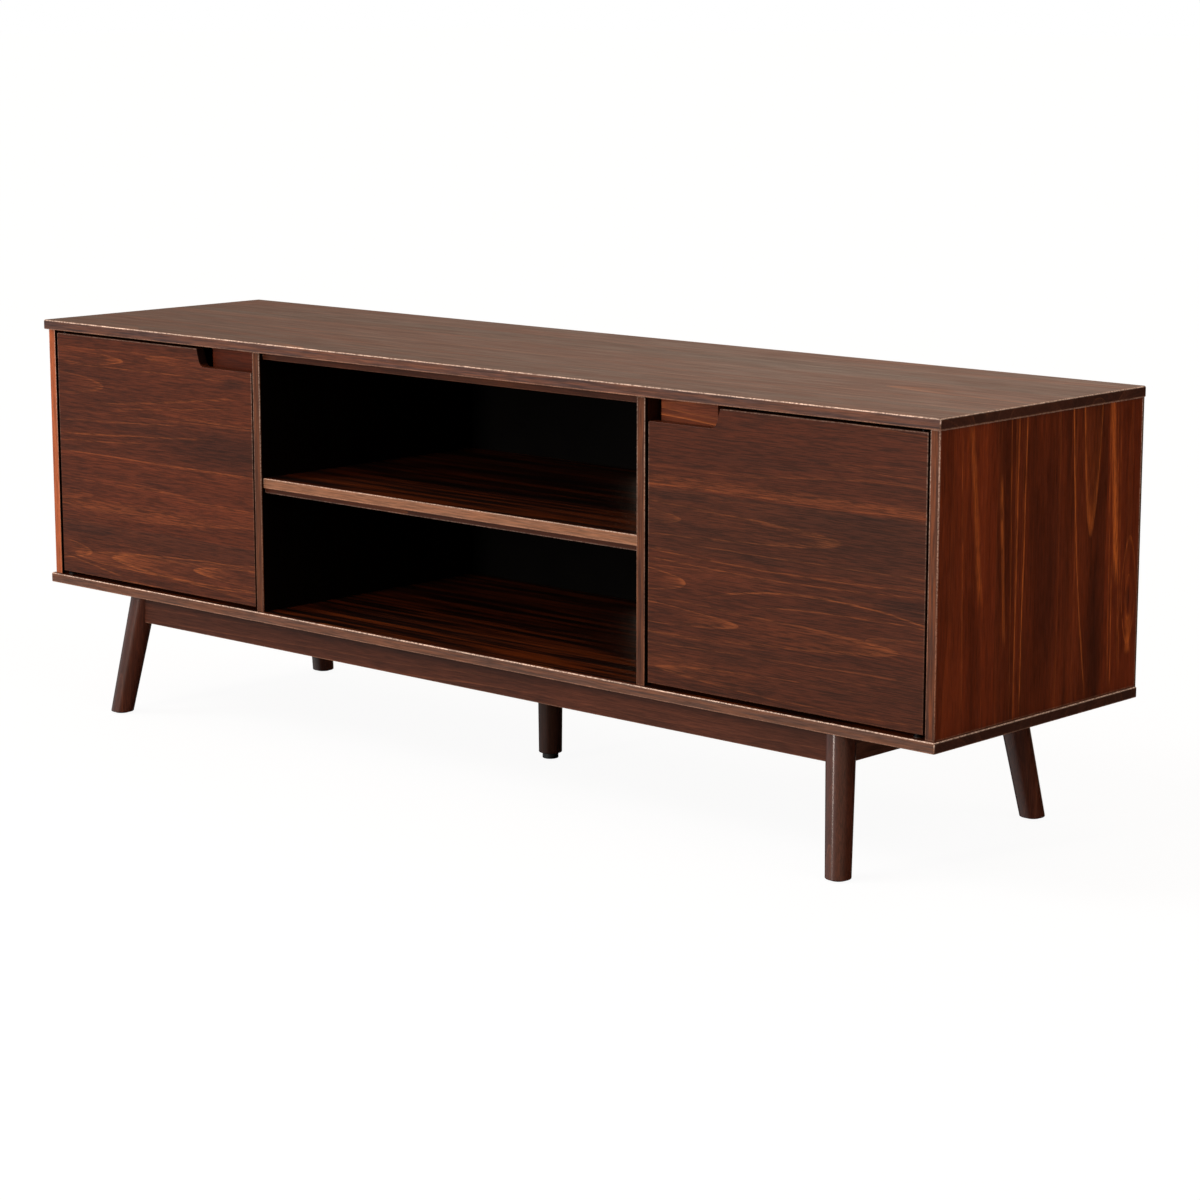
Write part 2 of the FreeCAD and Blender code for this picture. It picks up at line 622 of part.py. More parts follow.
# ---- assembly -----------------------------------------------------------
def make_carcass():
    dowels = top_dowels()
    screws = carcass_screws()
    low_seats, top_seats = [], []
    for x in (-PIVOT_X, PIVOT_X):
        low_seats.append(rod(x, PIVOT_Y, FLOOR_OF_BAYS - BUSH_DEEP, FLOOR_OF_BAYS + OVERCUT, BUSH_R))
        top_seats.append(rod(x, PIVOT_Y, UNDER_TOP - OVERCUT, UNDER_TOP + BUSH_DEEP, BUSH_R))
    _, rail_fixings = rail_screws()
    side_row = screw_rows(BACK_SCREW_SIDE_X)
    back_rows = side_row + screw_rows(BACK_SCREW_CENTRE_X) + [mirrored(screw) for screw in side_row]

    export("top_panel", wide_board(UNDER_TOP).cut(dowels + top_seats + back_rows))
    fixings = screws + rail_fixings + block_screws() + back_rows
    export("bottom_panel", wide_board(UNDERSIDE).cut(low_seats + fixings))
    export("carcass_dowels", *dowels)
    sockets = [hex_socket(x, y, UNDERSIDE) for x, y in upright_stations()]
    export("carcass_screws", *[screw.cut(socket) for screw, socket in zip(screws, sockets)])
    export("lower_pivot_bushes", lower_bush(), mirrored(lower_bush()))
    export("upper_pivot_bushes", upper_bush(), mirrored(upper_bush()))

    ends = shelf_dowels()
    side_screws = screw_column(SIDE_MID)
    near = DIVIDER_MID - BOARD / 4
    far = DIVIDER_MID + BOARD / 4
    divider_screws = screw_column(near) + screw_column(far)
    side = upright(SIDE_IN, SIDE_OUT, dowels + screws + side_screws + pin_holes(SIDE_IN, 1))
    divider = upright(DIVIDER_IN, DIVIDER_OUT,
                      dowels + screws + divider_screws + ends + pin_holes(DIVIDER_OUT, -1))
    export("side_panel_right", side)
    export("side_panel_left", mirrored(side))
    export("divider_right", divider)
    export("divider_left", mirrored(divider))

    export("center_shelf", centre_shelf(ends))
    export("center_shelf_dowels", *ends)
    export("shelf_front_batten", batten(SHELF_LOW, SHELF_BATTEN_DROP))
    export("top_front_batten", batten(UNDER_TOP, TOP_BATTEN_DROP))

    right_screws = side_screws + screw_column(far) + side_row
    centre_screws = screw_column(near) + [mirrored(screw) for screw in screw_column(near)]
    centre_screws += screw_rows(BACK_SCREW_CENTRE_X)
    low_hole, high_hole = FLOOR_OF_BAYS + CABLE_HOLE_UP, SHELF_TOP + CABLE_HOLE_UP
    bay_middle = (DIVIDER_OUT + SIDE_IN) / 2
    right = back_panel(DIVIDER_MID + BACK_JOINT, SIDE_OUT, [(bay_middle, low_hole)], right_screws)
    centre = back_panel(-DIVIDER_MID + BACK_JOINT, DIVIDER_MID - BACK_JOINT,
                        [(0, low_hole), (0, high_hole)], centre_screws)
    export("back_panel_right", right)
    export("back_panel_left", mirrored(right))
    export("back_panel_center", centre)
    left_screws = [mirrored(screw) for screw in right_screws]
    export("back_panel_screws", *(right_screws + centre_screws + left_screws))


def make_doors():
    disc, screw = strike()
    pins = pivot_pins()
    recess = cross_behind(CATCH_X, DOOR_BACK, CATCH_Z)
    pieces = {
        "door": [door_blank().cut(pins + [disc, screw])],
        "pivot_pins": pins,
        "strike_plate": [disc],
        "strike_screw": [screw.cut(recess)],
        "stop_block": [stop_block()],
        "inner_shelf": [inner_shelf()],
        "shelf_pins": shelf_pins(),
    }
    for name, shapes in pieces.items():
        export(name + "_right", *shapes)
        export(name + "_left", *[mirrored(shape) for shape in shapes])
    export("catch_magnets", magnet(), mirrored(magnet()))
    export("door_bumpers", *(bumpers() + [mirrored(pad) for pad in bumpers()]))


def make_base():
    corners = {"front_left": (-1, -1), "front_right": (1, -1), "back_left": (-1, 1), "back_right": (1, 1)}
    cones = {name: leg_cone(*signs) for name, signs in corners.items()}
    for name, signs in corners.items():
        export("leg_" + name, cones[name].cut([long_tenon(*signs), side_tenon(*signs)]))
    export("leg_glides", *[rod(side * FOOT_X, end * FOOT_Y, 0, GLIDE_THICK, GLIDE_R)
                           for side, end in corners.values()])

    places, fixings = rail_screws()
    cutters = counterbores(places) + fixings
    all_cones = list(cones.values())
    export("apron_front", long_rail(-1, all_cones, cutters))
    export("apron_back", long_rail(1, all_cones, cutters))
    export("apron_left", side_rail(-1, all_cones, cutters))
    export("apron_right", side_rail(1, all_cones, cutters))
    export("apron_screws", *fixings)

    block_fixings = block_screws()
    for name, signs in corners.items():
        export("corner_block_" + name, corner_block(*signs).cut(block_fixings))
    export("corner_block_screws", *block_fixings)


def make_mid_support():
    bolt = mid_leg_bolt()
    screws = plate_screws()
    wide = STRETCHER_WIDE / 2
    stretcher = box(-wide, wide, -RAIL_INNER_Y, RAIL_INNER_Y, STRETCHER_LOW, UNDERSIDE)
    export("center_stretcher", stretcher.cut([bolt] + screws))
    half = PLATE_SIDE / 2
    plate = box(-half, half, MID_LEG_Y - half, MID_LEG_Y + half, MID_LEG_TOP, STRETCHER_LOW)
    export("center_leg_plate", plate.cut([bolt] + screws))
    export("center_leg_plate_screws", *screws)
    export("center_leg_bolt", bolt)
    export("center_leg", mid_leg())

    insert = rod(0, MID_LEG_Y, MID_LEG_FOOT_Z, MID_LEG_FOOT_Z + INSERT_LONG, INSERT_R)
    export("leveller_insert", insert.cut(rod(0, MID_LEG_Y, 0, HEIGHT, STUD_BORE_R)))
    export("leveller_foot", leveller())
    export("leveller_stud", rod(0, MID_LEG_Y, LEVELLER_Z + LEVELLER_TALL, STUD_TOP_Z, STUD_R))


os.makedirs("parts", exist_ok=True)
make_carcass()
make_doors()
make_base()
make_mid_support()
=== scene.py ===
"""Console television cabinet: finishes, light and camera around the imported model."""
import math
import random

import bpy
from mathutils import Matrix, Vector


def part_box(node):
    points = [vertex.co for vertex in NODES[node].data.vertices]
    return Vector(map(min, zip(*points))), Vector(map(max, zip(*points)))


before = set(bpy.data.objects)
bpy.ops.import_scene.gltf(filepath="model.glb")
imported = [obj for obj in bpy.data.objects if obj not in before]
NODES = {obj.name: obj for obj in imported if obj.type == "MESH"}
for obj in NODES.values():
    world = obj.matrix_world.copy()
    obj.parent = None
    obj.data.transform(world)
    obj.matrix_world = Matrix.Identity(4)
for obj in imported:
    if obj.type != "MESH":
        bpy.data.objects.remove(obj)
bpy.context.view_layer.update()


# ---------------------------------------------------------------- node helpers

def srgb(red, green, blue):
    """A screen colour of 0 to 255 as the linear colour that the shaders take."""
    out = []
    for part in (red, green, blue):
        part /= 255
        out.append(part / 12.92 if part <= 0.04045 else ((part + 0.055) / 1.055) ** 2.4)
    return (*out, 1.0)


class Graph:
    """A node tree, with short ways to add and link its nodes."""

    def __init__(self, tree):
        self.tree = tree

    def feed(self, socket, value):
        if isinstance(value, bpy.types.NodeSocket):
            self.tree.links.new(value, socket)
        else:
            socket.default_value = value

    def add(self, kind, inputs=(), **settings):
        node = self.tree.nodes.new(kind)
        for key, value in settings.items():
            setattr(node, key, value)
        for key, value in dict(inputs).items():
            self.feed(node.inputs[key], value)
        return node

    def math(self, operation, *values):
        return self.add("ShaderNodeMath", enumerate(values), operation=operation).outputs[0]

    def plus(self, a, b):
        return self.math("ADD", a, b)

    def minus(self, a, b):
        return self.math("SUBTRACT", a, b)

    def times(self, a, b):
        return self.math("MULTIPLY", a, b)

    def times_plus(self, a, b, c):
        """a * b + c"""
        return self.math("MULTIPLY_ADD", a, b, c)

    def mix(self, factor, a, b, blend="MIX"):
        node = self.add("ShaderNodeMix", {0: factor, 6: a, 7: b}, data_type="RGBA",
                        blend_type=blend, clamp_factor=True)
        return node.outputs[2]

    def span(self, value, low, high, start=0.0, end=1.0):
        """value carried smoothly from low..high to start..end."""
        node = self.add("ShaderNodeMapRange", enumerate((value, low, high, start, end)),
                        interpolation_type="SMOOTHSTEP")
        return node.outputs[0]

    def point(self):
        return self.add("ShaderNodeTexCoord").outputs["Object"]

    def facing(self):
        """The three parts of the surface's direction."""
        return self.split(self.add("ShaderNodeTexCoord").outputs["Normal"])

    def split(self, vector):
        return self.add("ShaderNodeSeparateXYZ", {0: vector}).outputs

    def join(self, x, y, z):
        return self.add("ShaderNodeCombineXYZ", {0: x, 1: y, 2: z}).outputs[0]

    def scaled(self, parts, factors, shift):
        """A vector of parts times factors, the first part moved by shift."""
        made = [self.times(part, factor) for part, factor in zip(parts, factors)]
        made[0] = self.plus(made[0], shift)
        return self.join(*made)

    def noise(self, vector, scale=1.0, detail=2.0, rough=0.5):
        return self.add("ShaderNodeTexNoise", {"Vector": vector, "Scale": scale, "Detail": detail,
                                               "Roughness": rough}).outputs[0]

    def table(self, position, rows):
        """A ramp of steps: from each row's start on, its four values of 0 to 1."""
        node = self.add("ShaderNodeValToRGB", {0: position})
        ramp = node.color_ramp
        ramp.interpolation = "CONSTANT"
        for index, (start, values) in enumerate(rows):
            stop = ramp.elements[index] if index < 2 else ramp.elements.new(start)
            stop.position = start
            stop.color = values
        if len(rows) == 1:
            ramp.elements.remove(ramp.elements[1])
        return (*self.split(node.outputs[0]), node.outputs[1])


class Finish(Graph):
    """One material and its shader."""

    def __init__(self, name):
        self.material = bpy.data.materials.new(name)
        self.material.use_nodes = True
        super().__init__(self.material.node_tree)
        self.shader = self.tree.nodes["Principled BSDF"]

    def set(self, **values):
        """Feeds the shader's own sockets: base_color=..., roughness=..."""
        for key, value in values.items():
            name = key.replace("_", " ").title().replace("Ior", "IOR")
            self.feed(self.shader.inputs[name], value)

    def bump(self, height, distance, strength):
        node = self.add("ShaderNodeBump", {"Height": height, "Distance": distance, "Strength": strength})
        self.set(normal=node.outputs[0])


# ------------------------------------------------------------------------ wood

# looks of wood: colours of its darkest and middle parts and of its pale lines, spacing
# of the rings in metres, and strength of their lines, of the fibres and of placed marks
STAINED = dict(dark=srgb(55, 25, 15), mid=srgb(94, 43, 21), line=srgb(158, 92, 46),
               ring=0.0062, lines=0.62, fibre=0.11, marks=1.0)
SMOKED = dict(STAINED, dark=srgb(46, 24, 17), mid=srgb(80, 43, 30), line=srgb(128, 80, 54), lines=0.4)
DOOR = dict(STAINED, dark=srgb(54, 26, 17), mid=srgb(84, 38, 19), line=srgb(148, 82, 42), lines=0.28,
            marks=0.82, fibre=0.16)
LEG = dict(SMOKED, dark=srgb(42, 19, 11), mid=srgb(82, 39, 25))
VIVID = dict(STAINED, dark=srgb(52, 20, 9), mid=srgb(112, 43, 10), line=srgb(178, 92, 30), lines=0.25)
RAW = dict(dark=srgb(168, 128, 84), mid=srgb(206, 170, 122), line=srgb(150, 98, 58),
           ring=0.0045, lines=0.6, fibre=0.1, marks=1.0)
SMUDGE_AND_SHADE = srgb(34, 17, 14)
END_GRAIN = srgb(58, 38, 32)
REDDISH, NEUTRAL = srgb(255, 226, 205), srgb(246, 246, 242)
# colours of rubbed edges with a painted highlight, palest on the upper edges
RUB_AND_HIGHLIGHT_LOW, RUB_AND_HIGHLIGHT_HIGH = srgb(206, 158, 130), srgb(255, 224, 204)
FLAME_DARK, FLAME_PALE = srgb(24, 6, 3), srgb(176, 76, 20)

# patterns in the grain: how often they repeat per metre along, across and through it
PATTERNS = {
    "wander": ((1.6, 7, 7), dict(detail=1)),
    "ripple": ((9, 60, 60), dict(detail=1)),
    "patch": ((2.6, 18, 18), dict(detail=4, rough=0.6)),
    "streak": ((12, 300, 300), dict(detail=3, rough=0.6)),
    "fibre": ((30, 750, 750), dict(detail=3, rough=0.65)),
    "fade": ((1.5, 12, 12), dict(detail=1)),
    "flame": ((2.4, 62, 62), dict(detail=5, rough=0.62)),
}
MARGIN = 0.1                    # how far a pith may lie outside the panel, m
DEEPEST = 0.1                   # how deep it may lie from the panel's middle, m
TAPER = 0.05                    # from the rings' steepest narrowing to their steepest widening
BOARD_SHIFT = 9.0               # most that a board's patterns are moved along the grain
RING_SWING = (0.034, 0.0022)    # how far the wander and the ripple carry the rings, m
MARK_SWING = (0.010, 0.003)     # how far they carry placed marks, m
FIRST_RING = 40.0               # keeps the rings' numbers above zero
THIN_RINGS = 3.7                # faint rings to each ring
ARRIS_RUB_AND_HIGHLIGHT = (0.0007, 0.0022)    # depth of a rubbed edge and its painted highlight where it starts to fade and ends, m
ARRIS_SPECKS = 420.0            # specks in it per metre


def random_boards(low, high, width, seed):
    """Glued-up boards across a panel: (start, pith, depth, taper, tone, hue) of each."""
    draw = random.Random(seed)
    count = max(1, round((high - low) / width))
    step = (high - low) / count
    rows = []
    for index in range(count):
        start = low + index * step + (draw.uniform(-0.18, 0.18) * step if index else 0.0)
        pith = low + (index + draw.uniform(-0.3, 1.3)) * step
        rows.append((start, pith, draw.uniform(0.012, 0.07), draw.choice((-1, 1)) * draw.uniform(0.4, 1),
                     draw.uniform(0.15, 0.85), draw.random()))
    return rows


class Wood(Finish):
    """Stained softwood, cut from rings around a pith in each glued-up board.

    axes names the directions along the grain, across the boards and through them.
    A board is (start, pith, depth, taper, tone, hue), with its pith's place across
    the panel and its depth under the panel's middle.
    """

    def __init__(self, name, node, axes, look, boards, width, seed):
        super().__init__(name)
        self.look = look
        self.low, self.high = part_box(node)
        self.xyz = self.split(self.point())
        index = ["xyz".index(letter) for letter in axes]
        self.along, self.across, self.through = (self.xyz[i] for i in index)
        self.start, self.end = (corner[index[1]] for corner in (self.low, self.high))
        self.middle = (self.low[index[2]] + self.high[index[2]]) / 2
        self.cut(boards or random_boards(self.start, self.end, width, seed), seed)
        self.grow()
        self.colour = self.ring_colour()
        self.shade = self.fibre_shade()

    def pattern(self, name, shift=None):
        """Noise that follows the grain, with a shift of its own in each board."""
        factors, settings = PATTERNS[name]
        parts = (self.along, self.across, self.through)
        return self.noise(self.scaled(parts, factors, self.shift if shift is None else shift), **settings)

    def cut(self, boards, seed):
        """Sets the values that change from board to board."""
        size = self.end - self.start
        draw = random.Random(seed + 100)
        cuts, growths = [], []
        for start, pith, depth, taper, bright, hue in boards:
            at = max(0.0, (start - self.start) / size)
            pith = (pith - self.start + MARGIN) / (size + 2 * MARGIN)
            cuts.append((at, (pith, depth / DEEPEST, draw.random(), bright)))
            growths.append((at, (0.5 + 0.5 * taper, hue, 0.0, 1.0)))
        place = self.math("DIVIDE", self.minus(self.across, self.start), size)
        pith, depth, shift, self.bright = self.table(place, cuts)
        taper, self.hue, _, _ = self.table(place, growths)
        self.shift = self.times(shift, BOARD_SHIFT)
        pith = self.times_plus(pith, size + 2 * MARGIN, self.start - MARGIN)
        self.side = self.minus(self.across, pith)
        self.down = self.times_plus(depth, DEEPEST, self.minus(self.through, self.middle))
        self.taper = self.times_plus(taper, TAPER, -TAPER / 2)

    def grow(self):
        """Sets the rings, whose distance from the pith wanders and tapers along the tree."""
        radius = self.math("SQRT", self.plus(self.times(self.side, self.side),
                                             self.times(self.down, self.down)))
        radius = self.times_plus(self.taper, self.along, radius)
        self.wander, self.ripple = self.pattern("wander"), self.pattern("ripple")
        radius = self.times_plus(self.wander, RING_SWING[0], radius)
        radius = self.times_plus(self.ripple, RING_SWING[1], radius)
        rings = self.plus(self.math("DIVIDE", radius, self.look["ring"]), FIRST_RING)
        part = self.math("FRACT", rings)
        number = self.add("ShaderNodeTexWhiteNoise", {"W": self.math("FLOOR", rings)}, noise_dimensions="1D")
        number = number.outputs["Value"]
        self.strong = self.span(number, 0.25, 1.0, 0.08, 1.0)
        self.band = self.span(number, 0.0, 1.0, 0.90, 1.08)
        self.late = self.times(self.math("POWER", part, 5.0), self.strong)
        self.early = self.math("POWER", self.minus(1.0, part), 7.0)
        self.thin = self.math("POWER", self.math("FRACT", self.times(rings, THIN_RINGS)), 3.0)

    def ring_colour(self):
        """The colour of patches and rings, with each board's own tone."""
        self.patch = self.span(self.pattern("patch"), 0.36, 0.66)
        self.streak, self.fibre = self.pattern("streak"), self.pattern("fibre")
        self.fade = self.span(self.pattern("fade"), 0.38, 0.58, 0.25, 1.0)
        body = self.times_plus(self.patch, 0.38, self.times_plus(self.bright, 0.5, 0.06))
        colour = self.mix(body, self.look["dark"], self.look["mid"])
        lines = self.times(self.times(self.late, self.fade), self.look["lines"])
        return self.mix(lines, colour, self.look["line"])

    def fibre_shade(self):
        """The shade of fibres, thin rings and bands."""
        fine, coarse = 2.2 * self.look["fibre"], 0.75 * self.look["fibre"]
        grain = self.plus(self.span(self.streak, 0.36, 0.64, 1 - coarse, 1 + coarse),
                          self.span(self.fibre, 0.38, 0.62, -fine, fine))
        grain = self.times_plus(self.thin, self.times(self.fade, 0.12), grain)
        return self.times(grain, self.band)

    def mark(self, smudges_and_shade, tongues, strands):
        """Draws the listed marks, bent and worn like the grain."""
        marks, line = self.look["marks"], self.look["line"]
        bent = self.times_plus(self.minus(self.wander, 0.5), MARK_SWING[0], self.across)
        bent = self.times_plus(self.minus(self.ripple, 0.5), MARK_SWING[1], bent)
        worn = self.times(self.times_plus(self.fade, 0.5, 0.5),
                          self.span(self.fibre, 0.36, 0.56, 0.35 * marks, marks))
        colour = self.colour
        # smudges are dark patches in the grain, and along the aprons' tops painted shadow
        for at_along, at_across, length, width, strength in smudges_and_shade:
            x = self.math("DIVIDE", self.minus(self.along, at_along), length)
            y = self.math("DIVIDE", self.minus(bent, at_across), width)
            far = self.plus(self.times(x, x), self.times(y, y))
            colour = self.mix(self.span(far, 0.0, 1.0, strength, 0.0), colour, SMUDGE_AND_SHADE)
        for at_along, at_across, length, width, edging, fill in tongues:
            x = self.math("DIVIDE", self.minus(self.along, at_along), length)
            y = self.math("DIVIDE", self.minus(bent, at_across), width)
            far = self.plus(self.math("POWER", self.math("ABSOLUTE", x), 1.35), self.times(y, y))
            edge = self.times(self.span(far, 0.76, 0.97, 0.0, edging), self.span(far, 0.97, 1.0, 1.0, 0.0))
            tip = self.times(self.span(x, 0.2, 0.85, 0.0, fill), self.span(far, 0.9, 1.0, 1.0, 0.0))
            colour = self.mix(self.times(tip, worn), colour, self.look["mid"])
            colour = self.mix(self.times(self.times_plus(tip, 0.4, edge), worn), colour, line)
        for at_along, at_across, lean, bend, half, strength, reach in strands:
            run = self.minus(self.along, at_along)
            path = self.times_plus(self.times_plus(run, bend, lean), run, at_across)
            off = self.math("ABSOLUTE", self.minus(bent, path))
            near = self.times(self.span(off, half * 0.2, half, strength, 0.0),
                              self.span(self.math("ABSOLUTE", run), reach * 0.7, reach, 1.0, 0.0))
            colour = self.mix(self.times(near, worn), colour, line)
        warm = self.mix(self.hue, REDDISH, NEUTRAL)
        colour = self.mix(0.5, colour, warm, "MULTIPLY")
        self.colour = self.mix(self.times(self.times(self.early, self.strong), 0.22), colour,
                               self.look["dark"])

    def darken_ends(self, facing, ends):
        """Darkens the end grain of a piece that runs along x; a low ends also paints shade on it, as on the
        doors' edges in their gaps.
        """
        sideways = self.span(self.math("ABSOLUTE", facing[0]), 0.5, 0.9)
        self.colour = self.mix(sideways, self.colour, self.mix(0.6, self.colour, END_GRAIN))
        self.shade = self.times(self.shade, self.span(sideways, 0.0, 1.0, 1.0, ends))

    def tint_front(self, facing, edge, strength):
        """Tints the faces that look forward, a little streaked: partly their own colour and partly painted
        light and shade.
        """
        forward = self.span(facing[1], -0.9, -0.35, strength, 0.0)
        tint = self.mix(self.span(self.streak, 0.3, 0.7), edge, self.look["line"])
        self.colour = self.mix(forward, self.colour, self.mix(0.75, tint, edge))

    def rub_and_light_arrises(self, strength):
        """Lightens the edges of the node's box as wear with a painted highlight, and most of all its upper
        ones, where the highlight is painted strongest.
        """
        inward = []
        for axis in range(3):
            low, high = self.low[axis], self.high[axis]
            off = self.math("ABSOLUTE", self.minus(self.xyz[axis], (low + high) / 2))
            inward.append(self.minus((high - low) / 2, off))
        pairs = [self.math("MAXIMUM", inward[i], inward[j]) for i, j in ((0, 1), (1, 2), (0, 2))]
        near = self.math("MINIMUM", self.math("MINIMUM", pairs[0], pairs[1]), pairs[2])
        speck = self.noise(self.point(), scale=ARRIS_SPECKS, detail=2)
        lit_from_above = self.span(self.xyz[2], self.low.z + 0.004, self.high.z - 0.004)
        rub_and_highlight = self.times(self.span(near, *ARRIS_RUB_AND_HIGHLIGHT, strength, 0.0), self.span(speck, 0.38, 0.58, 0.3, 1.0))
        rub_and_highlight = self.times(rub_and_highlight, self.span(lit_from_above, 0.0, 1.0, 0.5, 1.0))
        self.colour = self.mix(rub_and_highlight, self.colour, self.mix(lit_from_above, RUB_AND_HIGHLIGHT_LOW, RUB_AND_HIGHLIGHT_HIGH))

    def paint_inner_shade(self, facing, shade):
        """Paints shade on what lies in the carcass, and draws its grain as flames where it faces up."""
        inside = self.times(painted_shade_mask(self, self.xyz), self.math("GREATER_THAN", facing[1], -0.5))
        flame = self.mix(self.span(self.pattern("flame", 3.0), 0.42, 0.64), FLAME_DARK, FLAME_PALE)
        upward = self.span(facing[2], 0.3, 0.8, 0.0, 0.75)
        self.colour = self.mix(self.times(inside, upward), self.colour, flame)
        self.shade = self.times(self.shade, self.span(inside, 0.0, 1.0, 1.0, shade))

    def lacquer(self, roughness, coat, relief):
        """Feeds the shader."""
        shade = self.shade
        satin = self.span(self.streak, 0.25, 0.75, roughness + 0.06, roughness - 0.08)
        self.set(base_color=self.mix(1.0, self.colour, self.join(shade, shade, shade), "MULTIPLY"),
                 roughness=self.times_plus(self.patch, 0.05, satin), specular_ior_level=0.22,
                 specular_tint=(1.0, 0.85, 0.75, 1.0), coat_weight=coat, coat_roughness=0.18)
        self.bump(self.plus(self.times(self.fibre, 0.5), self.times(self.late, 0.6)), relief, 0.6)


def painted_shade_mask(fin, xyz):
    """Where shade is painted: 1 in the open bay and under the doors' fronts, less behind the doors, 0
    outside.
    """
    slack = 0.0004
    side_low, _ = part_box("side_panel_right")
    top_low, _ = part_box("top_panel")
    _, floor_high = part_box("bottom_panel")
    divider_low, divider_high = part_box("divider_right")
    sideways = fin.math("ABSOLUTE", xyz[0])
    deep = fin.math("GREATER_THAN", xyz[1], divider_low.y + 0.002)
    # lip: the strip along the doors' fronts, which takes painted shade too
    lip = fin.times(fin.math("GREATER_THAN", xyz[1], divider_low.y - 0.0095),
                    fin.math("LESS_THAN", xyz[1], divider_low.y + 0.006))
    beyond = fin.math("GREATER_THAN", sideways, divider_high.x - slack)
    deep = fin.times(deep, fin.times_plus(beyond, -0.45, 1.0))
    deep = fin.math("MAXIMUM", deep, fin.times(lip, beyond))
    wide = fin.math("LESS_THAN", sideways, side_low.x + slack)
    below = fin.math("LESS_THAN", xyz[2], top_low.z + slack)
    above = fin.math("GREATER_THAN", xyz[2], floor_high.z - slack)
    return fin.times(fin.times(deep, wide), fin.times(below, above))


def dress(node, material):
    """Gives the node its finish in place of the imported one."""
    for slot in NODES[node].material_slots:
        slot.material = material


def stain(node, name, axes, look=STAINED, boards=None, width=0.1, seed=1, smudges_and_shade=(), tongues=(),
          strands=(), tone=1.0, ends=1.0, front=None, arris=0.0, inner=None, roughness=0.42, coat=0.0,
          relief=0.00012):
    """Dresses the node in a wood of its own.

    width is that of random boards, where none are given.  tone lightens the whole
    piece and ends its end grain, with painted shade where it is low, as on the doors.
    front is a colour for faces that look forward and how much of it they take, partly
    their own colour and partly painted light and shade.  arris is how much the piece's
    edges are rubbed, with a painted highlight, and inner the painted shade of what lies
    in the carcass.  coat is a layer of clear lacquer, and relief the height of the grain.
    """
    fin = Wood(name, node, axes, look, boards, width, seed)
    fin.mark(smudges_and_shade, tongues, strands)
    fin.shade = fin.times(fin.shade, tone)
    facing = fin.facing()
    if ends < 1:
        fin.darken_ends(facing, ends)
    if front:
        fin.tint_front(facing, *front)
    if arris:
        fin.rub_and_light_arrises(arris)
    if inner:
        fin.paint_inner_shade(facing, inner)
    fin.lacquer(roughness, coat, relief)
    dress(node, fin.material)


# glued-up boards and the marks in their grain, where it is plain to see, in metres
DOOR_BOARDS = {
    "left": [(0.213, 0.252, 0.045, -0.7, 0.45, 0.6), (0.300, 0.350, 0.060, 0.5, 0.95, 0.1),
             (0.4125, 0.440, 0.055, -0.5, 0.22, 0.2), (0.487, 0.522, 0.040, 0.6, 0.75, 0.4)],
    "right": [(0.213, 0.250, 0.050, 0.5, 0.42, 0.8), (0.286, 0.330, 0.045, 0.6, 0.50, 0.5),
              (0.400, 0.440, 0.050, 0.7, 0.28, 0.9), (0.484, 0.560, 0.060, 0.4, 0.50, 0.1)],
}
# tongues, pointed ovals filled towards the tip at along + half length:
# (along, across, half length, half width, line, fill)
DOOR_TONGUES = {
    "left": [(-0.800, 0.563, 0.100, 0.0100, 0.45, 0.5), (-0.860, 0.520, 0.110, 0.0170, 0.40, 0.3),
             (-0.450, 0.573, -0.200, 0.0120, 0.30, 0.2), (-0.500, 0.250, -0.245, 0.0215, 0.45, 0.5),
             (-0.420, 0.254, -0.125, 0.0130, 0.35, 0.8), (-0.880, 0.252, 0.090, 0.0180, 0.40, 0.6)],
    "right": [(0.360, 0.445, 0.100, 0.0120, 0.40, 0.3), (0.350, 0.443, 0.385, 0.0250, 0.45, 0.1),
              (0.390, 0.361, 0.078, 0.0160, 0.55, 0.4), (0.350, 0.312, 0.480, 0.0270, 0.40, 0.4),
              (0.400, 0.3145, 0.162, 0.0145, 0.55, 0.8), (0.750, 0.239, -0.340, 0.0170, 0.40, 0.3),
              (0.840, 0.545, -0.135, 0.0065, 0.40, 0.2)],
}
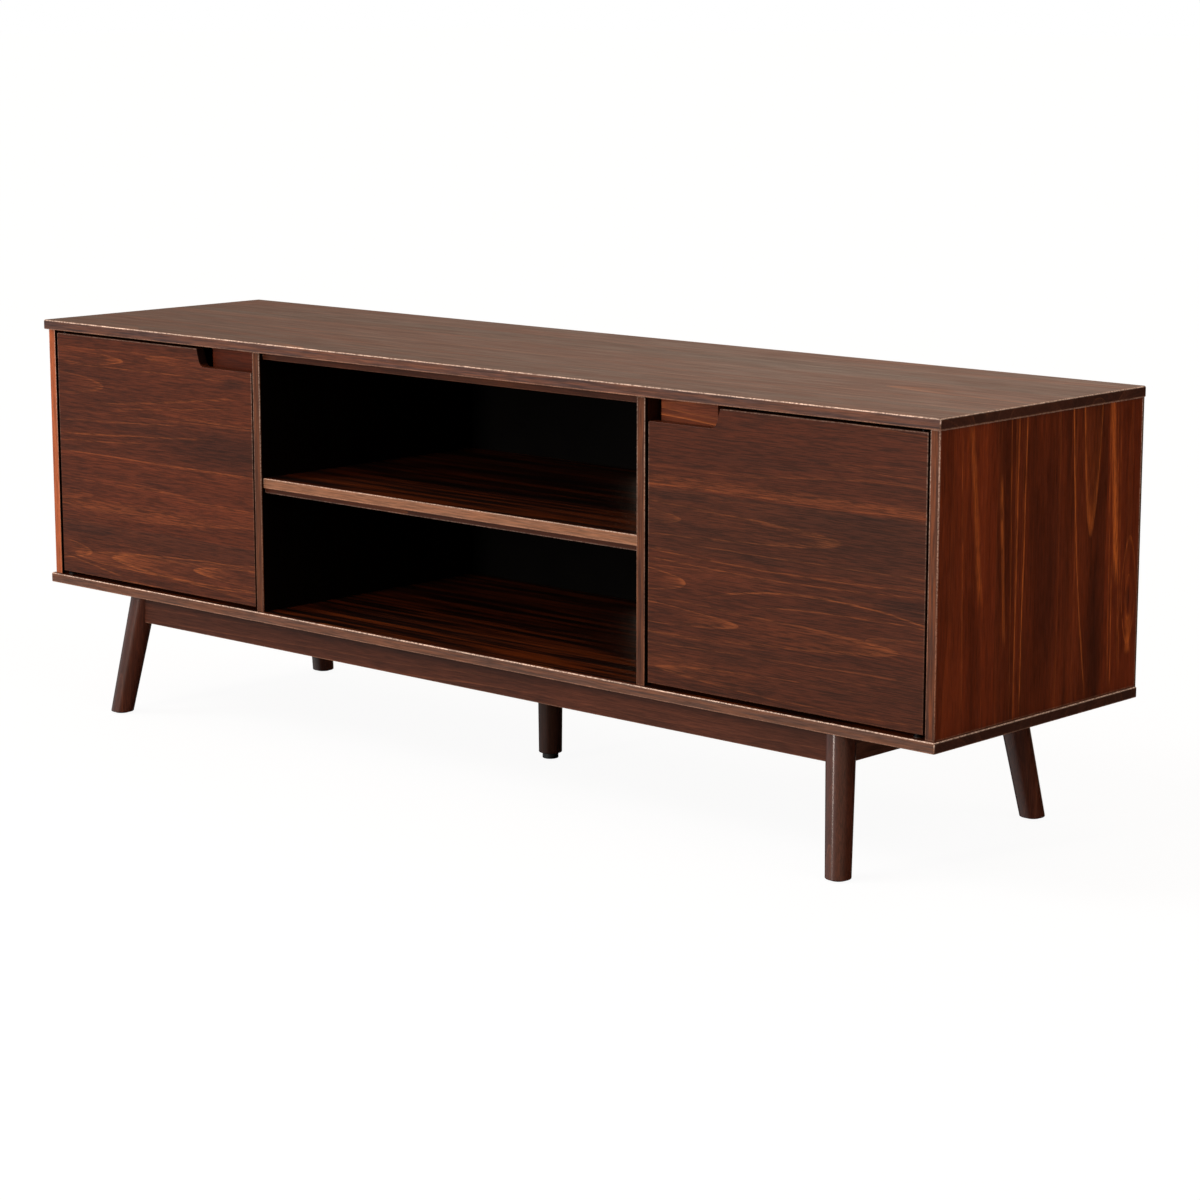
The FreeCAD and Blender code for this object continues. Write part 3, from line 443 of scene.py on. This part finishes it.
# strands, pale lines: (along, across, lean, bend, half width, strength, reach)
DOOR_STRANDS = {
    "left": [(-0.63, 0.5515, 0, 0, 0.0012, 0.35, 0.24), (-0.60, 0.509, 0.11, 0, 0.0026, 0.42, 0.18),
             (-0.58, 0.4995, 0.09, 0, 0.0020, 0.35, 0.16), (-0.48, 0.488, 0, 0, 0.0012, 0.40, 0.09),
             (-0.72, 0.4695, 0.05, 0, 0.0018, 0.35, 0.16), (-0.68, 0.4505, 0.06, 0, 0.0020, 0.40, 0.20),
             (-0.76, 0.435, 0.06, 0, 0.0018, 0.30, 0.12), (-0.63, 0.4120, 0, 0, 0.0014, 0.42, 0.25),
             (-0.72, 0.368, 0, 0, 0.0014, 0.30, 0.17), (-0.72, 0.327, 0, 0, 0.0160, 0.24, 0.24),
             (-0.80, 0.323, 0, 0, 0.0014, 0.30, 0.10), (-0.80, 0.232, -0.13, 0, 0.0020, 0.40, 0.09),
             (-0.67, 0.2145, 0, 0, 0.0018, 0.45, 0.06), (-0.58, 0.2335, 0, 0.05, 0.0014, 0.35, 0.20)],
    "right": [(0.63, 0.495, 0, 0, 0.0110, 0.20, 0.30), (0.50, 0.4885, 0, 0, 0.0016, 0.45, 0.20),
              (0.68, 0.4115, 0, 0, 0.0014, 0.35, 0.22), (0.64, 0.394, 0, 0.12, 0.0017, 0.55, 0.26),
              (0.62, 0.383, 0, 0.15, 0.0016, 0.45, 0.27), (0.70, 0.370, 0, -0.584, 0.0020, 0.60, 0.215),
              (0.77, 0.352, 0, -0.22, 0.0015, 0.40, 0.22), (0.62, 0.2765, 0.02, 0, 0.0012, 0.35, 0.25),
              (0.50, 0.286, 0, 0.1, 0.0012, 0.30, 0.12), (0.75, 0.266, 0, 0, 0.0010, 0.35, 0.06)],
}
# smudges, dark patches: (along, across, half length, half width, strength)
DOOR_SMUDGES = {
    "left": [(-0.440, 0.548, 0.035, 0.013, 0.55), (-0.470, 0.440, 0.140, 0.030, 0.30),
             (-0.800, 0.288, 0.080, 0.010, 0.25)],
    "right": [(0.840, 0.374, 0.070, 0.014, 0.50), (0.780, 0.478, 0.120, 0.006, 0.40),
              (0.450, 0.476, 0.080, 0.007, 0.35)],
}
SIDE_BOARDS = [(-0.222, -0.190, 0.060, 0.5, 0.55, 0.1), (-0.100, -0.010, 0.055, -0.4, 0.30, 0.4),
               (0.054, 0.120, 0.045, 0.5, 0.25, 0.6), (0.148, 0.205, 0.040, 0.6, 0.60, 0.1)]
SIDE_TONGUES = [(0.760, 0.113, -0.335, 0.0270, 0.55, 0.3), (0.345, 0.206, 0.075, 0.0180, 0.50, 0.0),
                (0.335, 0.206, 0.032, 0.0085, 0.45, 0.0)]
SIDE_STRANDS = [(0.49, -0.1445, -0.115, 0, 0.0080, 0.55, 0.13),
                (0.42, -0.0845, -0.06, 0, 0.0050, 0.50, 0.12),
                (0.42, -0.0665, -0.02, 0, 0.0014, 0.35, 0.23), (0.42, -0.0535, 0.003, 0, 0.0018, 0.55, 0.23),
                (0.42, -0.0375, 0.015, 0, 0.0018, 0.65, 0.23), (0.42, -0.1710, -0.03, 0, 0.0018, 0.30, 0.20),
                (0.42, 0.0810, -0.105, 0.16, 0.0020, 0.70, 0.23),
                (0.50, 0.1650, -0.07, 0, 0.0085, 0.85, 0.15),
                (0.42, 0.1560, -0.02, 0, 0.0015, 0.40, 0.22), (0.42, 0.1765, -0.04, 0, 0.0015, 0.45, 0.20),
                (0.42, 0.1820, -0.03, 0, 0.0014, 0.35, 0.20), (0.285, 0.208, 0, 0, 0.0090, 0.55, 0.03),
                (0.30, 0.1645, -0.02, 0, 0.0015, 0.50, 0.10)]
SIDE_SMUDGES = [(0.335, 0.205, 0.022, 0.006, 0.5), (0.400, 0.015, 0.180, 0.045, 0.3),
                (0.300, 0.130, 0.140, 0.022, 0.35)]

# inner below is painted shade in the carcass, and arris a rubbed edge with a painted highlight
stain("top_panel", "top_stain", "xyz", width=0.092, seed=3, arris=0.85, front=(srgb(73, 56, 55), 0.94),
      inner=0.02, roughness=0.40, relief=0.0003, ends=0.8)
stain("bottom_panel", "bottom_stain", "xyz", width=0.092, seed=8, arris=0.85,
      front=(srgb(86, 65, 58), 0.92), inner=0.32, ends=0.7)
# the left door's tone of 1.12 is painted light, from the key light on the left
for side, seed, lip, block_look, block_tone, door_painted_light in (
        ("left", 21, srgb(162, 87, 55), VIVID, 1.0, 1.12),
        ("right", 34, srgb(57, 42, 37), STAINED, 2.0, 1.0)):
    # the left side's pale lip is painted light and the right side's dark lip painted shade
    stain(f"side_panel_{side}", f"side_stain_{side}", "zyx", look=VIVID, boards=SIDE_BOARDS,
          tongues=SIDE_TONGUES, strands=SIDE_STRANDS, smudges_and_shade=SIDE_SMUDGES, seed=seed, arris=0.35,
          front=(lip, 0.85), inner=0.02, tone=1.1)
    stain(f"divider_{side}", f"divider_stain_{side}", "zyx", width=0.09, seed=seed + 1, arris=0.3,
          front=(srgb(72, 43, 33), 0.85), inner=0.02)
    stain(f"inner_shelf_{side}", f"inner_shelf_stain_{side}", "xyz", seed=seed + 2, arris=0.2)
    stain(f"stop_block_{side}", f"stop_block_stain_{side}", "xzy", look=block_look, seed=seed + 3,
          tone=block_tone)
    # ends=0.3 paints shade on the doors' edges, which lie in the dark gaps
    stain(f"door_{side}", f"door_stain_{side}", "xzy", look=DOOR, boards=DOOR_BOARDS[side],
          tongues=DOOR_TONGUES[side], strands=DOOR_STRANDS[side], smudges_and_shade=DOOR_SMUDGES[side],
          seed=seed + 4, arris=0.15, tone=door_painted_light, ends=0.3)
    stain(f"apron_{side}", f"apron_stain_{side}", "yzx", look=SMOKED, seed=73, arris=0.4)
# the shelf's pale front tint is partly painted highlight
stain("center_shelf", "shelf_stain", "xyz", seed=50, arris=0.5, front=(srgb(141, 102, 80), 0.85),
      inner=0.24)
# tone=0.6 paints shade on the battens, which sit under the top and the shelf
for board in ("shelf", "top"):
    stain(f"{board}_front_batten", f"{board}_batten_stain", "xzy", seed=60, arris=0.2, tone=0.6)
for face in ("front", "back"):
    # the long smudge along the top of each apron is painted shadow under the bottom board
    stain(f"apron_{face}", f"apron_stain_{face}", "xzy", look=SMOKED, seed=70, arris=0.6, tone=1.5,
          smudges_and_shade=[(0, 0.195, 9, 0.024, 0.75)])
    for side in ("left", "right"):
        stain(f"leg_{face}_{side}", f"leg_stain_{face}_{side}", "zxy", look=LEG,
              seed=len(face + side), coat=1.0)
stain("center_leg", "center_leg_stain", "zxy", look=SMOKED, seed=90, coat=0.3, tone=0.6)
for node, axes in (("center_stretcher", "yxz"), ("carcass_dowels", "zxy"), ("center_shelf_dowels", "xyz"),
                   ("corner_block_front_left", "xyz"), ("corner_block_front_right", "xyz"),
                   ("corner_block_back_left", "xyz"), ("corner_block_back_right", "xyz")):
    stain(node, f"raw_{node}", axes, look=RAW, width=0.06, seed=len(node))


# -------------------------------------------------------------- other finishes

SCREEN_PITCH = 0.0022       # of the print on hardboard's back, m


def hardboard():
    """Hardboard lacquered black on its smooth inner face, with the screen's print outside."""
    fin = Finish("hardboard_black")
    point = fin.point()
    x, _, z = fin.split(point)
    fleck = fin.noise(point, scale=900.0, detail=3)
    cloud = fin.span(fin.noise(point, scale=14.0, detail=3), 0.3, 0.7)
    turns = 2 * math.pi / SCREEN_PITCH
    screen = fin.times(fin.math("SINE", fin.times(x, turns)), fin.math("SINE", fin.times(z, turns)))
    screen = fin.times_plus(screen, 0.5, fleck)
    outside = fin.span(fin.facing()[1], -0.3, 0.3)
    black = fin.mix(cloud, srgb(5, 4, 4), srgb(8, 7, 6))
    brown = fin.mix(cloud, srgb(104, 80, 62), srgb(110, 85, 66))
    brown = fin.mix(fin.span(screen, 0.2, 0.9, 0.0, 0.35), brown, srgb(62, 46, 35))
    fin.set(base_color=fin.mix(outside, black, brown), specular_ior_level=0.06,
            roughness=fin.times_plus(outside, 0.2, fin.span(fleck, 0.3, 0.7, 0.5, 0.68)))
    fin.bump(fin.mix(outside, fleck, screen), 0.00015, 0.5)
    return fin.material


def metal(name, dark, light, low, high):
    """Plated or oiled steel with a slightly uneven lustre."""
    fin = Finish(name)
    haze = fin.noise(fin.point(), scale=260.0, detail=3)
    fin.set(base_color=fin.mix(fin.span(haze, 0.35, 0.65), dark, light),
            roughness=fin.span(haze, 0.3, 0.7, low, high), metallic=1.0)
    fin.bump(haze, 0.00004, 0.4)
    return fin.material


def plastic(name, dark, light, roughness):
    """Moulded plastic with a fine texture."""
    fin = Finish(name)
    pits = fin.noise(fin.point(), scale=1400.0, detail=2)
    cloud = fin.noise(fin.point(), scale=60.0, detail=2)
    fin.set(base_color=fin.mix(fin.span(cloud, 0.3, 0.7), dark, light),
            roughness=fin.span(pits, 0.3, 0.7, roughness - 0.05, roughness + 0.08))
    fin.bump(pits, 0.00005, 0.6)
    return fin.material


def felt():
    """Grey-brown felt pads."""
    fin = Finish("felt_pad")
    fuzz = fin.noise(fin.point(), scale=2600.0, detail=4, rough=0.7)
    fin.set(base_color=fin.mix(fin.span(fuzz, 0.3, 0.7), srgb(52, 46, 42), srgb(96, 86, 78)),
            roughness=0.95, sheen_weight=0.4)
    fin.bump(fuzz, 0.0004, 0.8)
    return fin.material


def rubber_clear():
    """Clear soft bumper pads."""
    fin = Finish("rubber_clear")
    haze = fin.noise(fin.point(), scale=500.0, detail=2)
    fin.set(base_color=fin.mix(haze, srgb(214, 214, 208), srgb(238, 238, 234)),
            roughness=fin.span(haze, 0.3, 0.7, 0.16, 0.3), transmission_weight=0.6)
    return fin.material


# finishes of the nodes that have one of these material slots
OTHERS = {
    "black_board": hardboard(),
    "brown_nylon": plastic("nylon_brown", srgb(30, 20, 15), srgb(38, 26, 20), 0.42),
    "black_plastic": plastic("plastic_black", srgb(14, 13, 13), srgb(22, 21, 20), 0.45),
    "clear_rubber": rubber_clear(),
    "zinc_steel": metal("steel_zinc", srgb(150, 152, 155), srgb(190, 192, 194), 0.28, 0.45),
    "black_steel": metal("steel_black", srgb(24, 24, 26), srgb(44, 44, 46), 0.35, 0.5),
    "plated_steel": metal("steel_plated", srgb(176, 172, 164), srgb(206, 203, 196), 0.18, 0.34),
    "felt": felt(),
}
for name, piece in NODES.items():
    slot = piece.material_slots[0].material.name
    if slot in OTHERS:
        dress(name, OTHERS[slot])


# ---------------------------------------------------------- camera and studio

WHITE, PALE_FLOOR = (1, 1, 1, 1), (0.86, 0.86, 0.86, 1)
DUSK, WARM_SKY = (0.02, 0.02, 0.02, 1), (0.63, 0.51, 0.40, 1)
# cards in the surroundings: the way to it, how near to that a ray starts to meet it
# and meets all of it (1 is straight at it), and its colour
CARDS = (((-0.665, -0.723, 0.0), 0.3, 1.0, (0.5, 0.5, 0.5, 1)),     # grey, at the front left
         ((-0.36, 0.91, 0.2), 0.86, 1.0, (1.08, 0.84, 0.66, 1)),    # a warm glow at the back
         ((0.665, 0.723, 0.0), 0.35, 0.95, (0, 0, 0, 1)))           # black, at the back right


def stand(name, data, azimuth, elevation, distance, target, sideways=0.0, upward=0.0):
    """An object that looks at the target from there, moved sideways and upward in its view."""
    a, e = math.radians(azimuth), math.radians(elevation)
    back = Vector((math.sin(a) * math.cos(e), -math.cos(a) * math.cos(e), math.sin(e)))
    right = Vector((math.cos(a), math.sin(a), 0.0))
    up = back.cross(right)
    spot = Vector(target) + sideways * right + upward * up + distance * back
    thing = bpy.data.objects.new(name, data)
    thing.matrix_world = Matrix.Translation(spot) @ Matrix((right, up, back)).transposed().to_4x4()
    bpy.context.scene.collection.objects.link(thing)
    return thing


def place_camera():
    """The photograph's viewing angle, without its lens shift."""
    data = bpy.data.cameras.new("camera")
    data.sensor_width = 36.0
    data.lens = 96.8
    data.clip_end = 200.0
    bpy.context.scene.camera = stand("camera", data, azimuth=42.62, elevation=10.78, distance=4.78527,
                                     target=(0.0, 0.0, 0.3), sideways=0.08022, upward=-0.0535)


def lamp(name, kind, azimuth, elevation, distance, **settings):
    """A light that shines at the cabinet's middle."""
    data = bpy.data.lights.new(name, kind)
    for key, value in settings.items():
        setattr(data, key, value)
    return stand(name, data, azimuth, elevation, distance, (0.0, 0.0, 0.35))


def surroundings():
    """What the lacquer reflects, where the camera itself sees plain white."""
    world = bpy.data.worlds.new("studio")
    world.use_nodes = True
    world.node_tree.nodes.clear()
    bpy.context.scene.world = world
    sky = Graph(world.node_tree)
    ray = sky.add("ShaderNodeTexCoord").outputs["Generated"]

    colour = sky.mix(sky.span(sky.split(ray)[2], -0.12, 0.35), DUSK, WARM_SKY)
    for direction, low, high, shade in CARDS:
        dot = sky.add("ShaderNodeVectorMath", {0: ray, 1: direction}, operation="DOT_PRODUCT")
        colour = sky.mix(sky.span(dot.outputs["Value"], low, high), colour, shade)
    colour = sky.mix(sky.add("ShaderNodeLightPath").outputs["Is Camera Ray"], colour, WHITE)
    background = sky.add("ShaderNodeBackground", {0: colour})
    sky.add("ShaderNodeOutputWorld", {0: background.outputs[0]})


def lay_floor(reach=60.0):
    """A pale floor, which glows white to the camera and shows faint shadows."""
    mesh = bpy.data.meshes.new("floor")
    corners = [(-reach, -reach, 0), (reach, -reach, 0), (reach, reach, 0), (-reach, reach, 0)]
    mesh.from_pydata(corners, [], [(0, 1, 2, 3)])
    floor = bpy.data.objects.new("floor", mesh)
    bpy.context.scene.collection.objects.link(floor)
    floor.visible_glossy = False
    fin = Finish("floor_paint")
    fin.set(base_color=PALE_FLOOR, roughness=0.9)
    glow = fin.add("ShaderNodeEmission", {0: WHITE, 1: 1.04})
    seen = fin.times(fin.add("ShaderNodeLightPath").outputs["Is Camera Ray"], 0.9)
    both = fin.add("ShaderNodeMixShader", {0: seen, 1: fin.shader.outputs[0], 2: glow.outputs[0]})
    fin.feed(fin.tree.nodes["Material Output"].inputs[0], both.outputs[0])
    mesh.materials.append(fin.material)


place_camera()
lamp("key", "SUN", azimuth=-48, elevation=42, distance=5.0, energy=1.08, angle=math.radians(24))
lamp("strip", "AREA", azimuth=-8, elevation=14, distance=4.2, energy=62.0, shape="RECTANGLE",
     size=0.4, size_y=2.0, color=(1.0, 0.86, 0.78))
fill = lamp("fill", "SUN", azimuth=97, elevation=30, distance=5.0, energy=0.55, angle=math.radians(40))
fill.visible_glossy = False
surroundings()
lay_floor()
bpy.context.scene.view_settings.view_transform = "Standard"
